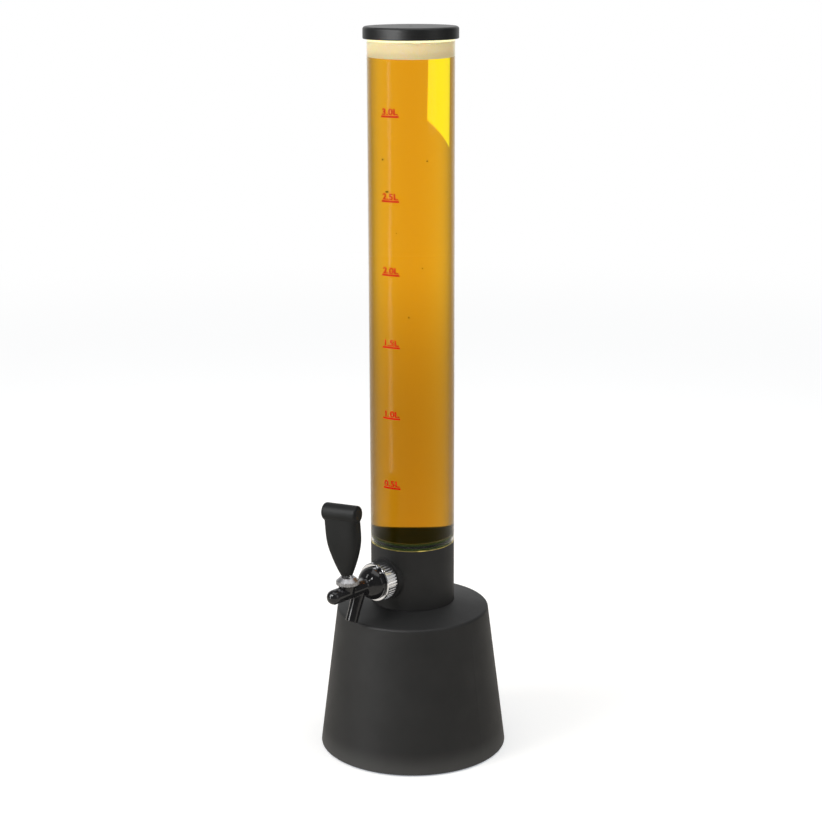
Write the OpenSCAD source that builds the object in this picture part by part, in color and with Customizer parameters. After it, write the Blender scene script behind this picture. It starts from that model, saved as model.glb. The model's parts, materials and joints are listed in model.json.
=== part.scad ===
// Beer tower dispenser: a clear measuring column on a weighted base, with a lever tap and a lift-off lid.
// Lengths are in millimetres. The tower stands on z = 0 around the Z axis, and its tap points along -Y.

/* [Column] */
// Outer diameter of the clear tube, and of the neck that carries it
tube_d = 95; // [90:1:110]
// Wall thickness of the clear tube
tube_wall = 3; // [2:0.5:4]
// Length of the clear tube
tube_len = 570.2; // [300:0.2:700]

/* [Lid] */
// Wall thickness of the lid's skirt
lid_wall = 4; // [2:0.1:5]
// How far the skirt reaches down over the tube
lid_skirt = 8; // [6:0.5:15]
// Thickness of the lid's top
lid_top = 4; // [3:0.5:6]
// Radius of the lid's rounded upper edge
lid_round = 3; // [1:0.5:3.5]
// How far the plug ring reaches down into the tube
plug_depth = 6; // [4:0.5:12]
// Wall thickness of the plug ring
plug_wall = 2.6; // [2:0.1:4]
// Diameter of the air vent in the middle of the lid
vent_d = 4; // [2:0.5:8]
// Thickness of the flat sealing ring in the lid
lid_seal_t = 1; // [0.6:0.1:2]

/* [Base] */
// Diameter of the base shell at its foot
base_d = 214.4; // [200:1:240]
// How far the upper rim stands in from the foot
rim_inset = 20.6; // [12:0.2:30]
// Height of the upper rim above the table
base_h = 166; // [120:1:200]
// Rise of the sloping ledge from the rim to the neck
ledge_rise = 8.6; // [5:0.5:15]
// Wall thickness of the base shell
shell_wall = 3; // [2:0.5:4]
// Radius of the rounded upper rim
rim_round = 3.5; // [1:0.5:5]
// Depth of the socket that holds the neck
socket_depth = 21.6; // [12:0.5:40]
// Opening in the middle of the socket's floor
deck_hole_d = 44; // [20:1:52]
// Thickness of the closing plate
plate_t = 3; // [2.5:0.5:4]
// Height of the rubber ring below the plate
foot_drop = 1.5; // [1:0.25:4]
// How far the rubber ring stands in from the shell's foot
grip_inset = 17.2; // [15:0.2:30]
// Width of the rubber ring
grip_w = 6; // [4:0.5:10]
// How far the ballast weight stands in from the shell's foot
weight_inset = 19.2; // [18.2:0.2:40]
// Thickness of the ballast weight
weight_t = 15; // [13:1:30]

/* [Neck] */
// Height of the neck that shows above the ledge
neck_show = 70.4; // [64:0.5:100]
// Height of the spigot inside the tube
spigot_h = 8; // [8:1:40]
// Wall thickness of the spigot
spigot_wall = 4.2; // [4:0.1:6]
// Height of the tap's axis above the ledge
tap_rise = 35; // [30:0.5:38]
// Diameter of the round boss behind the tap
tap_boss_d = 48; // [40:1:52]
// How far the boss stands out from the neck at its middle
boss_proud = 1; // [0.5:0.25:4]
// Depth of the well's floor below the tap's axis
well_drop = 20.5; // [19:0.5:22]
// Rise of the well's floor from the tap to the far side
well_rise = 8; // [0:0.5:12]

/* [Tap fitting] */
// Outer diameter of the shank's thread
shank_d = 22; // [18:0.5:24]
// Bore of the shank
shank_bore = 10; // [8:0.5:12]
// Outer diameter of the knurled coupling nut
nut_d = 44; // [42:0.5:50]
// Length of the coupling nut
nut_len = 16.5; // [15:0.5:17]
// Number of grooves round the coupling nut
nut_grooves = 40; // [24:1:48]
// Size of the shank's locknut over its corners
locknut_d = 34; // [30:0.5:35]
// Thickness of the shank's locknut
locknut_t = 7; // [4:0.5:8]

/* [Faucet] */
// Diameter of the faucet's barrel
barrel_d = 16.6; // [16:0.2:19]
// Diameter of the domed shoulder in the coupling nut
dome_d = 37; // [36:0.5:37.4]
// Distance from the washer face to the middle of the barrel's round end
barrel_run = 70.5; // [66:0.5:85]
// Distance from the washer face to the lever
lever_run = 49; // [47:0.5:52]
// Distance from the washer face to the spout's root
spout_run = 29; // [26:0.5:30]
// Length of the spout from the barrel's axis
spout_len = 39; // [34:0.5:50]
// Outer diameter of the spout at its tip
spout_d = 13.8; // [12:0.2:15]
// Bore of the spout
spout_bore = 8.8; // [6:0.2:9]
// Angle of the spout from straight down, outwards
spout_lean = 22; // [10:1:26]

/* [Lever] */
// Diameter of the lever's ball
ball_d = 11.6; // [11:0.2:11.6]
// Height of the ball's middle above the barrel's axis
ball_rise = 11; // [11:0.1:11.5]
// Diameter of the lever's stem
stem_d = 5.6; // [5:0.1:6]
// Angle that the handle leans outwards while the valve is shut
handle_lean = 5.5; // [0:0.5:8]
// Angle that the handle swings outwards to open the valve
handle_swing = 20; // [10:0.5:20]
// Angle that the handle is turned on the lever's stem
handle_turn = 15; // [0:1:30]

/* [Bonnet] */
// Outer diameter of the knurled bonnet
bonnet_d = 25.6; // [25:0.2:28]
// Number of grooves round the bonnet
bonnet_grooves = 30; // [18:1:36]

/* [Handle] */
// Length of the handle from its foot to its top
handle_len = 83; // [60:1:110]
// Width of the paddle at its widest
paddle_w = 38.6; // [26:0.2:44]
// Thickness of the paddle at its belly
paddle_t = 18.5; // [16:0.5:24]
// Width of the roll across the top
roll_w = 43; // [30:0.5:50]
// Diameter of the roll across the top
roll_d = 19.8; // [16:0.2:24]
// Radius of the roll's rounded ends
roll_round = 3; // [1:0.5:4]

/* [Fasteners] */
// Diameter of the screws
screw_d = 3.8; // [3:0.1:4]
// Diameter of the screws' heads
screw_head_d = 7.6; // [6:0.2:8]
// Height of the screws' heads
screw_head_h = 2; // [1.5:0.1:2.2]
// Length of the screws
screw_len = 14; // [10:0.5:16]

/* [Fits] */
// Clearance between parts that slip over each other
slip_gap = 0.3; // [0.2:0.05:0.5]
// Clearance between parts that slide on each other and at threads
run_gap = 0.1; // [0.05:0.01:0.1]

/* [Hidden] */
$fn = 96;
overrun = 1;
arc_steps = 8;

matte_black = [0.13, 0.13, 0.13];
satin_black = [0.17, 0.17, 0.17];
gloss_black = [0.06, 0.06, 0.065];
clear_plastic = [0.86, 0.9, 0.92, 0.35];
rubber_black = [0.09, 0.09, 0.09];
seal_grey = [0.35, 0.35, 0.36];
chrome = [0.85, 0.85, 0.87];
steel = [0.66, 0.67, 0.68];
brass = [0.78, 0.62, 0.3];
iron = [0.3, 0.3, 0.31];

// Heights of the tower, from the table up
tube_r = tube_d / 2;
bore_r = tube_r - tube_wall;
shell_z = foot_drop;
plate_top = shell_z + plate_t;
ledge_z = base_h + ledge_rise;
deck_top = ledge_z - socket_depth;
deck_bottom = deck_top - shell_wall;
neck_top = ledge_z + neck_show;
tube_top = neck_top + tube_len;
lid_under = tube_top + lid_seal_t;
lid_z = lid_under + lid_top;
skirt_z = tube_top - lid_skirt;
tap_z = ledge_z + tap_rise;

// Radii of the base and the places of its screws
base_r = base_d / 2;
rim_r = base_r - rim_inset;
grip_r = base_r - grip_inset;
socket_r = tube_r + slip_gap;
boss_d = 10;
boss_inset = 10.7;
boss_h = 26;
rib_t = 2.5;
boss_ring_r = base_r - boss_inset;
base_screw_count = 4;
plate_gap = 0.8;
plate_r = base_r - shell_wall - plate_gap;
hub_d = 30;
hub_wall = 3;
hub_h = 6;
grip_groove = plate_t / 2;
weight_r = base_r - weight_inset;
weight_chamfer = 1.5;
weight_screw_r = 50;
weight_screw_count = 3;
cross_w = 1;
cross_l = 4;
cross_deep = 1.2;

// Radii of the lid
skirt_in_r = tube_r + slip_gap;
lid_r = skirt_in_r + lid_wall;
plug_r = bore_r - slip_gap;
skirt_edge = 1;

// Neck: sleeve in the socket, and the cup in it with the liquid well, the spigot and the tube's seal
spigot_r = bore_r - slip_gap;
well_r = spigot_r - spigot_wall;
spigot_chamfer = 1;
seal_groove_deep = 2.4;
seal_groove_w = 3.4;
seal_z = neck_top + spigot_h / 2;
seal_in_r = spigot_r - seal_groove_deep;
seal_out_r = bore_r - run_gap / 2;
well_floor_t = 4;
well_floor_z = tap_z - well_drop;
well_slope = atan(well_rise / (2 * well_r));
pocket_top = well_floor_z - well_floor_t;
sleeve_wall = 4;
sleeve_in_r = tube_r - sleeve_wall;
cup_out_r = sleeve_in_r - run_gap;
neck_screw_inset = 11.5;
neck_screw_r = tube_r - neck_screw_inset;
neck_screw_count = 4;

// Stations along the tap's axis, measured outwards from the tower's axis
grip_t = 12.5;
pad_d = 37;
rubber_t = 1.5;
shank_proud = 1.5;
collar_t = 2;
collar_d = 34;
lip_t = 1.9;
lip_play = 0.2;
flange_t = 2.7;
flange_d = 29.4;
shank_neck_d = 23.2;
boss_face = tube_r + boss_proud;
pad_face = boss_face - grip_t;
locknut_out = pad_face - rubber_t;
locknut_in = locknut_out - locknut_t;
shank_in = locknut_in - shank_proud;
collar_in = boss_face + rubber_t;
collar_out = collar_in + collar_t;
flange_in = collar_out + lip_t + 2 * lip_play;
flange_out = flange_in + flange_t;
washer_face = flange_out + rubber_t;

// Faucet: tail in the nut, domed shoulder, valve seat and barrel
tail_d = 29.6;
tail_len = 4;
shoulder_t = 4;
dome_r = 22;
nut_in = boss_face + slip_gap;
nut_out = nut_in + nut_len;
nut_rim = 2;
nut_groove_d = 1.8;
tail_end = washer_face + tail_len;
dome_edge = tail_end + shoulder_t;
dome_middle = dome_edge - sqrt(dome_r * dome_r - dome_d * dome_d / 4);
barrel_end = washer_face + barrel_run;
seat_depth = 7.5;
seat_face = washer_face + seat_depth;
inlet_d = 16.4;
valve_bore = 10.4;
bore_run = 63.5;
bore_end = washer_face + bore_run;
lever_at = washer_face + lever_run;
spout_at = washer_face + spout_run;
spout_tip_len = 14;
spout_taper = 1;

// Ball pivot of the lever
ball_r = ball_d / 2;
cup_r = ball_r + run_gap / 2;
cup_ring_r = 8.3;
cup_depth = 4;
cup_high = 3.2;
cup_split = 0.15;
turret_wall = 2.5;
turret_r = cup_ring_r + run_gap + turret_wall;
turret_h = 13;
turret_foot_r = barrel_d / 2 - run_gap;
finger_d = 3.2;
finger_hole_d = 8.4;
finger_hole_shift = 1.5;
tip_d = 4.4;
finger_len = ball_rise / cos(handle_lean);
tip_at = lever_at - finger_len * sin(handle_lean);
swing_all = handle_lean + handle_swing;

// Bonnet over the turret
bonnet_low = 10;
bonnet_t = 3.6;
bonnet_flat_r = 8.3;
bonnet_cone = 4.1;
bonnet_groove_d = 1.5;
bonnet_under = ball_rise + cup_high;
bonnet_top = bonnet_under + bonnet_t;
mouth_gap = 0.5;
mouth_low_r = cup_high * tan(swing_all) + stem_d / 2 / cos(swing_all) + mouth_gap;
mouth_top_r = (cup_high + bonnet_t) * tan(swing_all) + stem_d / 2 / cos(swing_all) + mouth_gap;

// Plunger of the valve
rod_d = 5.2;
head_d = 9;
head_t = 2.1;
disc_d = 14.4;
disc_t = 2.4;
land_d = valve_bore - 2 * run_gap;
land_in = 38.5;
land_out = 56.5;
ring_at = 41.7;
ring_groove_w = 2.3;
ring_groove_deep = 1.8;
slot_gap = 0.15;
slot_deep = 2.8;
disc_out = seat_face - run_gap;
disc_in = disc_out - disc_t;

// Handle: its foot above the ball, its insert and the outline of the paddle
foot_rise = 10.1;
insert_d = 9.6;
insert_len = 16;
stem_in = 14;
paddle_h = handle_len - roll_d / 2;
paddle_steps = 36;
// Height, width and thickness of each section, and how square it is
paddle_shares = [[0, 0.345, 0.64, 0], [0.012, 0.385, 0.72, 0.05], [0.05, 0.425, 0.75, 0.15],
    [0.12, 0.52, 0.79, 0.35], [0.2, 0.635, 0.84, 0.5], [0.29, 0.745, 0.89, 0.65],
    [0.39, 0.85, 0.945, 0.8], [0.49, 0.935, 0.985, 0.9], [0.59, 0.975, 1, 1],
    [0.69, 0.99, 0.98, 1], [0.79, 1, 0.95, 1], [0.9, 1, 0.92, 1], [1, 1, 0.9, 1]];
round_power = 2;
square_power = 6;

function unit(v) = v / norm(v);

// Points of the arc that rounds corner p, between its neighbours a and b
function corner(a, p, b, r) =
    let (u = unit(a - p), v = unit(b - p), half = acos(u * v) / 2)
    let (middle = p + unit(u + v) * r / sin(half))
    let (from = p + u * r / tan(half) - middle, to = p + v * r / tan(half) - middle)
    let (start = atan2(from.y, from.x), turn = (atan2(to.y, to.x) - start + 540) % 360 - 180)
    [for (i = [0:arc_steps]) middle + r * [cos(start + turn * i / arc_steps), sin(start + turn * i / arc_steps)]];

function ledge_at(r) = ledge_z - ledge_rise * (r - socket_r) / (rim_r - socket_r);

// Section of the paddle: a circle drawn out to a rounded square as its power grows
function bulge(c, power) = sign(c) * pow(abs(c), 2 / power);
function paddle_ring(share) =
    let (power = round_power + (square_power - round_power) * share[3])
    [for (i = [0:paddle_steps - 1])
        let (a = 360 * i / paddle_steps)
        [bulge(cos(a), power) * paddle_w * share[1] / 2,
            bulge(sin(a), power) * paddle_t * share[2] / 2,
            share[0] * paddle_h]];

// Puts its children on the tap's axis: their +Z runs outwards and their +Y is up
module on_tap(station = 0) {
    translate([0, -station, tap_z])
        rotate([90, 0, 0])
            children();
}

// Puts its children upright at the lever's place on the barrel
module on_lever() {
    translate([0, -lever_at, tap_z])
        children();
}

// Puts its children at the ball, leaning with the handle
module on_ball() {
    on_lever()
        translate([0, 0, ball_rise])
            rotate([handle_lean, 0, 0])
                children();
}

module around(count, radius) {
    for (i = [0:count - 1])
        rotate([0, 0, 360 * (i + 1 / 2) / count])
            translate([radius, 0, 0])
                children();
}

module ring(outer_r, inner_r, h) {
    difference() {
        cylinder(r = outer_r, h = h);
        translate([0, 0, -overrun])
            cylinder(r = inner_r, h = h + 2 * overrun);
    }
}

module cross_recess() {
    for (turn = [0, 90])
        rotate([0, 0, turn])
            translate([-cross_l / 2, -cross_w / 2, -overrun])
                cube([cross_l, cross_w, cross_deep + overrun]);
}

// Screw with a countersunk head whose face lies at z = 0, pointing up
module countersunk_screw() {
    difference() {
        union() {
            cylinder(d1 = screw_head_d, d2 = screw_d, h = screw_head_h);
            cylinder(d = screw_d, h = screw_len);
        }
        cross_recess();
    }
}

// Screw with a flat head that ends at z = 0, pointing up
module pan_screw() {
    difference() {
        union() {
            translate([0, 0, -screw_head_h])
                cylinder(d = screw_head_d, h = screw_head_h);
            cylinder(d = screw_d, h = screw_len);
        }
        translate([0, 0, -screw_head_h])
            cross_recess();
    }
}

module screw_hole(depth) {
    translate([0, 0, -overrun])
        cylinder(d = screw_d + 2 * run_gap, h = depth + overrun);
}

// Moulded conical base: rounded rim, sloping ledge, socket with its floor, and screw bosses
module base_shell() {
    rim = [rim_r, base_h];
    foot = [base_r, shell_z];
    lip = [socket_r, ledge_z];
    in_r = rim_r - shell_wall;
    out_r = socket_r + shell_wall;
    color(matte_black)
        difference() {
            union() {
                rotate_extrude()
                    polygon(concat([foot], corner(foot, rim, lip, rim_round), [lip, [socket_r, deck_top],
                        [deck_hole_d / 2, deck_top], [deck_hole_d / 2, deck_bottom], [out_r, deck_bottom],
                        [out_r, ledge_at(out_r) - shell_wall], [in_r, ledge_at(in_r) - shell_wall],
                        [base_r - shell_wall, shell_z]]));
                intersection() {
                    translate([0, 0, shell_z])
                        cylinder(r1 = base_r, r2 = rim_r, h = base_h - shell_z);
                    translate([0, 0, plate_top])
                        around(base_screw_count, boss_ring_r) {
                            cylinder(d = boss_d, h = boss_h);
                            translate([0, -rib_t / 2, 0])
                                cube([boss_inset, rib_t, boss_h]);
                        }
                }
            }
            translate([0, 0, plate_top])
                around(base_screw_count, boss_ring_r)
                    screw_hole(screw_len);
            translate([0, 0, deck_bottom])
                around(neck_screw_count, neck_screw_r)
                    screw_hole(shell_wall + overrun);
        }
}

// Closing plate with a centring hub for the ballast and a groove for the rubber ring
module base_plate() {
    color(matte_black)
        translate([0, 0, shell_z])
            difference() {
                union() {
                    cylinder(r = plate_r, h = plate_t);
                    ring(hub_d / 2, hub_d / 2 - hub_wall, plate_t + hub_h);
                }
                translate([0, 0, grip_groove - plate_t])
                    ring(grip_r + run_gap, grip_r - grip_w - run_gap, plate_t);
                around(base_screw_count, boss_ring_r)
                    countersink();
                around(weight_screw_count, weight_screw_r)
                    countersink();
            }
}

module countersink() {
    screw_hole(plate_t + overrun);
    cylinder(d1 = screw_head_d + 2 * run_gap, d2 = screw_d + 2 * run_gap, h = screw_head_h);
}

module ballast_weight() {
    r = weight_r;
    inner = hub_d / 2 + slip_gap;
    color(iron)
        translate([0, 0, plate_top])
            difference() {
                rotate_extrude()
                    polygon([[inner, 0], [r - weight_chamfer, 0], [r, weight_chamfer],
                        [r, weight_t - weight_chamfer], [r - weight_chamfer, weight_t], [inner, weight_t]]);
                around(weight_screw_count, weight_screw_r)
                    screw_hole(screw_len - plate_t + run_gap);
            }
}

module grip_ring() {
    color(rubber_black)
        ring(grip_r, grip_r - grip_w, foot_drop + grip_groove);
}

module base_screws() {
    color(steel)
        translate([0, 0, shell_z])
            around(base_screw_count, boss_ring_r)
                countersunk_screw();
}

module ballast_screws() {
    color(steel)
        translate([0, 0, shell_z])
            around(weight_screw_count, weight_screw_r)
                countersunk_screw();
}

module neck_screws() {
    color(steel)
        translate([0, 0, deck_bottom])
            around(neck_screw_count, neck_screw_r)
                pan_screw();
}

// Liquid well with a floor that slopes down to the tap, and a flat pad left standing for the locknut
module well() {
    difference() {
        translate([0, 0, well_floor_z])
            cylinder(r = well_r, h = neck_top + spigot_h - well_floor_z + overrun);
        translate([0, -well_r, well_floor_z])
            rotate([well_slope, 0, 0])
                translate([-tube_r, -tube_r, -tube_r])
                    cube([tube_d, 2 * tube_d, tube_r]);
        on_tap(pad_face)
            cylinder(d = pad_d, h = grip_t);
    }
}

// Moulded neck: sleeve in the base's socket, with the boss that the tap is clamped on
module neck_housing() {
    color(matte_black)
        difference() {
            union() {
                translate([0, 0, deck_top])
                    cylinder(r = tube_r, h = neck_top - deck_top);
                on_tap(pad_face)
                    cylinder(d = tap_boss_d, h = grip_t);
            }
            translate([0, 0, deck_top - overrun])
                cylinder(r = sleeve_in_r, h = neck_top - deck_top + 2 * overrun);
            on_tap(pad_face - overrun)
                cylinder(d = shank_d + 2 * run_gap, h = grip_t + 2 * overrun);
        }
}

// Cup that holds the liquid: spigot for the tube, which rests on the sleeve, well, and posts for the screws
module well_cup() {
    spigot_top = neck_top + spigot_h;
    color(matte_black)
        difference() {
            union() {
                rotate_extrude()
                    polygon([[0, pocket_top], [cup_out_r, pocket_top], [cup_out_r, neck_top],
                        [spigot_r, neck_top], [spigot_r, spigot_top - spigot_chamfer],
                        [spigot_r - spigot_chamfer, spigot_top], [0, spigot_top]]);
                translate([0, 0, deck_top])
                    around(neck_screw_count, neck_screw_r)
                        cylinder(d = boss_d, h = pocket_top - deck_top + well_floor_t / 2);
            }
            well();
            translate([0, 0, seal_z - seal_groove_w / 2])
                ring(tube_r, seal_in_r, seal_groove_w);
            translate([0, 0, deck_top])
                around(neck_screw_count, neck_screw_r)
                    screw_hole(screw_len - shell_wall + run_gap);
            on_tap(pad_face - overrun)
                cylinder(d = shank_d + 2 * run_gap, h = grip_t + 2 * overrun);
        }
}

module tube_seal() {
    r = (seal_out_r - seal_in_r) / 2;
    color(seal_grey)
        rotate_extrude()
            translate([seal_in_r + r, seal_z])
                circle(r = r);
}

module tube() {
    color(clear_plastic)
        translate([0, 0, neck_top])
            ring(tube_r, bore_r, tube_len);
}

// Lift-off lid: rounded cap, outer skirt, plug ring and an air vent
module lid() {
    top = [lid_r, lid_z];
    low = [lid_r, skirt_z];
    middle = [vent_d / 2, lid_z];
    inside = [skirt_in_r, skirt_z];
    color(satin_black)
        rotate_extrude()
            polygon(concat([middle, [vent_d / 2, lid_under], [plug_r - plug_wall, lid_under],
                [plug_r - plug_wall, tube_top - plug_depth], [plug_r, tube_top - plug_depth],
                [plug_r, lid_under], [skirt_in_r, lid_under], inside],
                corner(inside, low, top, skirt_edge), corner(low, top, middle, lid_round)));
}

module lid_seal() {
    color(seal_grey)
        translate([0, 0, tube_top])
            ring(skirt_in_r - run_gap, plug_r + run_gap, lid_seal_t);
}

// Threaded pipe through the neck wall, with the flange that the coupling nut catches
module shank() {
    r = shank_d / 2;
    neck_r = shank_neck_d / 2;
    color(steel)
        on_tap()
            rotate_extrude()
                polygon([[shank_bore / 2, shank_in], [r, shank_in], [r, collar_out], [neck_r, collar_out],
                    [neck_r, flange_in], [flange_d / 2, flange_in], [flange_d / 2, flange_out],
                    [shank_bore / 2, flange_out]]);
}

module shank_collar() {
    color(chrome)
        on_tap(collar_in)
            ring(collar_d / 2, shank_d / 2 + run_gap, collar_t);
}

module shank_gasket() {
    color(rubber_black)
        on_tap(boss_face)
            ring(collar_d / 2, shank_d / 2 + run_gap, rubber_t);
}

module inner_washer() {
    color(rubber_black)
        on_tap(locknut_out)
            ring(collar_d / 2, shank_d / 2 + run_gap, rubber_t);
}

module shank_locknut() {
    color(steel)
        on_tap(locknut_in)
            difference() {
                cylinder(d = locknut_d, h = locknut_t, $fn = 6);
                translate([0, 0, -overrun])
                    cylinder(d = shank_d + 2 * run_gap, h = locknut_t + 2 * overrun);
            }
}

// Knurled ring with a lip behind the shank's flange, a thread for the faucet's tail and a front recess
module coupling_nut() {
    r = nut_d / 2;
    clear_r = collar_d / 2 + slip_gap;
    lip_r = shank_neck_d / 2 + slip_gap;
    lip_in = collar_out + lip_play;
    thread_r = tail_d / 2 + run_gap;
    recess_r = dome_d / 2 + slip_gap;
    recess_in = tail_end - lip_play;
    color(chrome)
        on_tap()
            difference() {
                rotate_extrude()
                    polygon([[clear_r, nut_in], [r - nut_groove_d / 2, nut_in], [r, nut_in + nut_groove_d / 2],
                        [r, nut_out - nut_groove_d / 2], [r - nut_groove_d / 2, nut_out], [recess_r, nut_out],
                        [recess_r, recess_in], [thread_r, recess_in], [thread_r, lip_in + lip_t],
                        [lip_r, lip_in + lip_t], [lip_r, lip_in], [clear_r, lip_in]]);
                translate([0, 0, nut_in - overrun])
                    around(nut_grooves, r)
                        cylinder(d = nut_groove_d, h = nut_len - nut_rim + overrun);
            }
}

module coupling_washer() {
    color(rubber_black)
        on_tap(flange_out)
            ring(flange_d / 2, shank_bore / 2 + slip_gap, rubber_t);
}

// Body of the tap: threaded tail, domed shoulder, barrel with a round end, turret and spout
module faucet_body() {
    color(gloss_black)
        difference() {
            union() {
                on_tap(washer_face)
                    cylinder(d = tail_d, h = tail_len + shoulder_t);
                intersection() {
                    on_tap(dome_middle)
                        sphere(r = dome_r);
                    on_tap(tail_end)
                        cylinder(d = dome_d, h = dome_r);
                }
                on_tap(dome_edge)
                    cylinder(d = barrel_d, h = barrel_end - dome_edge);
                on_tap(barrel_end)
                    sphere(d = barrel_d);
                on_lever() {
                    cylinder(r1 = turret_foot_r, r2 = turret_r, h = bonnet_low - run_gap);
                    cylinder(r = turret_r - run_gap, h = turret_h);
                }
                spout_solid();
            }
            on_tap(washer_face - overrun)
                cylinder(d = inlet_d, h = seat_depth + overrun);
            on_tap(washer_face)
                cylinder(d = valve_bore, h = bore_run);
            on_tap(spout_at)
                rotate([90 - spout_lean, 0, 0])
                    cylinder(d = spout_bore, h = spout_len + overrun);
            on_lever() {
                translate([0, 0, ball_rise - cup_depth])
                    cylinder(r = cup_ring_r + run_gap, h = turret_h);
                translate([0, 0, ball_rise])
                    sphere(r = cup_r);
                translate([0, finger_hole_shift, 0])
                    cylinder(d = finger_hole_d, h = turret_h);
            }
        }
}

module spout_solid() {
    taper_len = spout_len - spout_tip_len;
    on_tap(spout_at)
        rotate([90 - spout_lean, 0, 0]) {
            cylinder(r1 = spout_d / 2 + spout_taper, r2 = spout_d / 2, h = taper_len);
            translate([0, 0, taper_len])
                cylinder(d = spout_d, h = spout_tip_len);
        }
}

// Sliding valve rod: retaining head, rod, sealed land and the slot for the lever's finger
module plunger() {
    land_r = land_d / 2;
    groove_in = washer_face + ring_at - ring_groove_w / 2;
    groove_out = groove_in + ring_groove_w;
    rod_r = rod_d / 2;
    half = tip_d / 2 + slot_gap;
    color(steel)
        difference() {
            on_tap()
                rotate_extrude()
                    polygon([[0, disc_in - head_t], [head_d / 2, disc_in - head_t], [head_d / 2, disc_in],
                        [rod_r, disc_in], [rod_r, washer_face + land_in], [land_r, washer_face + land_in],
                        [land_r, groove_in], [land_r - ring_groove_deep, groove_in],
                        [land_r - ring_groove_deep, groove_out], [land_r, groove_out],
                        [land_r, washer_face + land_out], [0, washer_face + land_out]]);
            translate([0, -tip_at, tap_z])
                rotate([90, 0, -90])
                    linear_extrude(height = 2 * half, center = true)
                        polygon([[-half, -slot_deep], [half, -slot_deep], [half, 0],
                            [half + land_d * tan(swing_all), land_d], [-half, land_d]]);
        }
}

module seat_washer() {
    color(rubber_black)
        on_tap(disc_in)
            ring(disc_d / 2, rod_d / 2 + run_gap / 2, disc_t);
}

module plunger_seal() {
    in_r = land_d / 2 - ring_groove_deep;
    r = (valve_bore / 2 - run_gap / 2 - in_r) / 2;
    color(rubber_black)
        on_tap(washer_face + ring_at)
            rotate_extrude()
                translate([in_r + r, 0])
                    circle(r = r);
}

module ball_seat() {
    color(seal_grey)
        on_lever()
            difference() {
                translate([0, 0, ball_rise - cup_depth])
                    cylinder(r = cup_ring_r, h = cup_depth - cup_split);
                translate([0, 0, ball_rise])
                    sphere(r = cup_r);
            }
}

module ball_bushing() {
    color(seal_grey)
        on_lever()
            difference() {
                translate([0, 0, ball_rise + cup_split])
                    cylinder(r = cup_ring_r, h = cup_high - cup_split);
                translate([0, 0, ball_rise])
                    sphere(r = cup_r);
            }
}

// Knurled ring that screws over the turret, coned outside so that the tilted handle clears it
module bonnet() {
    r = bonnet_d / 2;
    thread_r = turret_r;
    color(chrome)
        on_lever()
            difference() {
                rotate_extrude()
                    polygon([[thread_r, bonnet_low], [r, bonnet_low], [r, bonnet_top - bonnet_cone],
                        [bonnet_flat_r, bonnet_top], [mouth_top_r, bonnet_top], [mouth_low_r, bonnet_under],
                        [thread_r, bonnet_under]]);
                translate([0, 0, bonnet_low - overrun])
                    around(bonnet_grooves, r)
                        cylinder(d = bonnet_groove_d, h = bonnet_top - bonnet_low);
            }
}

// Ball lever: finger with a round tip in the plunger's slot, ball, and a stem up into the handle
module lever() {
    color(steel)
        on_ball() {
            sphere(d = ball_d);
            cylinder(d = stem_d, h = foot_rise + stem_in);
            translate([0, 0, -finger_len]) {
                cylinder(d = finger_d, h = finger_len);
                sphere(d = tip_d);
            }
        }
}

// Paddle lofted through its sections
module paddle() {
    rings = [for (share = paddle_shares) paddle_ring(share)];
    last = len(rings) - 1;
    points = [for (ring_points = rings) each ring_points];
    sides = [for (k = [0:last - 1]) for (i = [0:paddle_steps - 1])
        let (j = (i + 1) % paddle_steps, low = k * paddle_steps, high = low + paddle_steps)
        each [[low + i, high + i, low + j], [low + j, high + i, high + j]]];
    floor_face = [for (i = [0:paddle_steps - 1]) i];
    top_face = [for (i = [0:paddle_steps - 1]) (last + 1) * paddle_steps - 1 - i];
    polyhedron(points, concat(sides, [floor_face, top_face]));
}

// Roll across the top of the handle, with rounded ends
module roll() {
    r = roll_d / 2;
    half = roll_w / 2;
    rotate([0, 90, 0])
        rotate_extrude()
            polygon(concat([[0, -half]], corner([0, -half], [r, -half], [r, half], roll_round),
                corner([r, -half], [r, half], [0, half], roll_round), [[0, half]]));
}

module handle() {
    color(satin_black)
        on_ball()
            translate([0, 0, foot_rise])
                difference() {
                    rotate([0, 0, handle_turn]) {
                        paddle();
                        translate([0, 0, paddle_h])
                            roll();
                    }
                    translate([0, 0, -overrun])
                        cylinder(d = insert_d + 2 * run_gap, h = insert_len + overrun);
                }
}

module handle_insert() {
    color(brass)
        on_ball()
            translate([0, 0, foot_rise])
                ring(insert_d / 2, stem_d / 2 + run_gap, insert_len - run_gap);
}

base_shell();
base_plate();
ballast_weight();
grip_ring();
base_screws();
ballast_screws();
neck_screws();
neck_housing();
well_cup();
tube_seal();
tube();
lid();
lid_seal();
shank();
shank_collar();
shank_gasket();
inner_washer();
shank_locknut();
coupling_nut();
coupling_washer();
faucet_body();
plunger();
seat_washer();
plunger_seal();
ball_seat();
ball_bushing();
bonnet();
lever();
handle();
handle_insert();
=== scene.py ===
# %% [markdown]
# # Beer tower dispenser
# A table tower holds about three litres of beer in a clear column. A weighted black base carries the
# neck, the neck carries the tap, and a loose lid closes the column. The solids come from the CAD model.
# This script gives every visible part its finish, and makes what CAD leaves plain: the drink, the
# printed scale, the tap's cast body and its handle. All lengths in Blender are metres.

# %% Load the model
import json
import math

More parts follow.
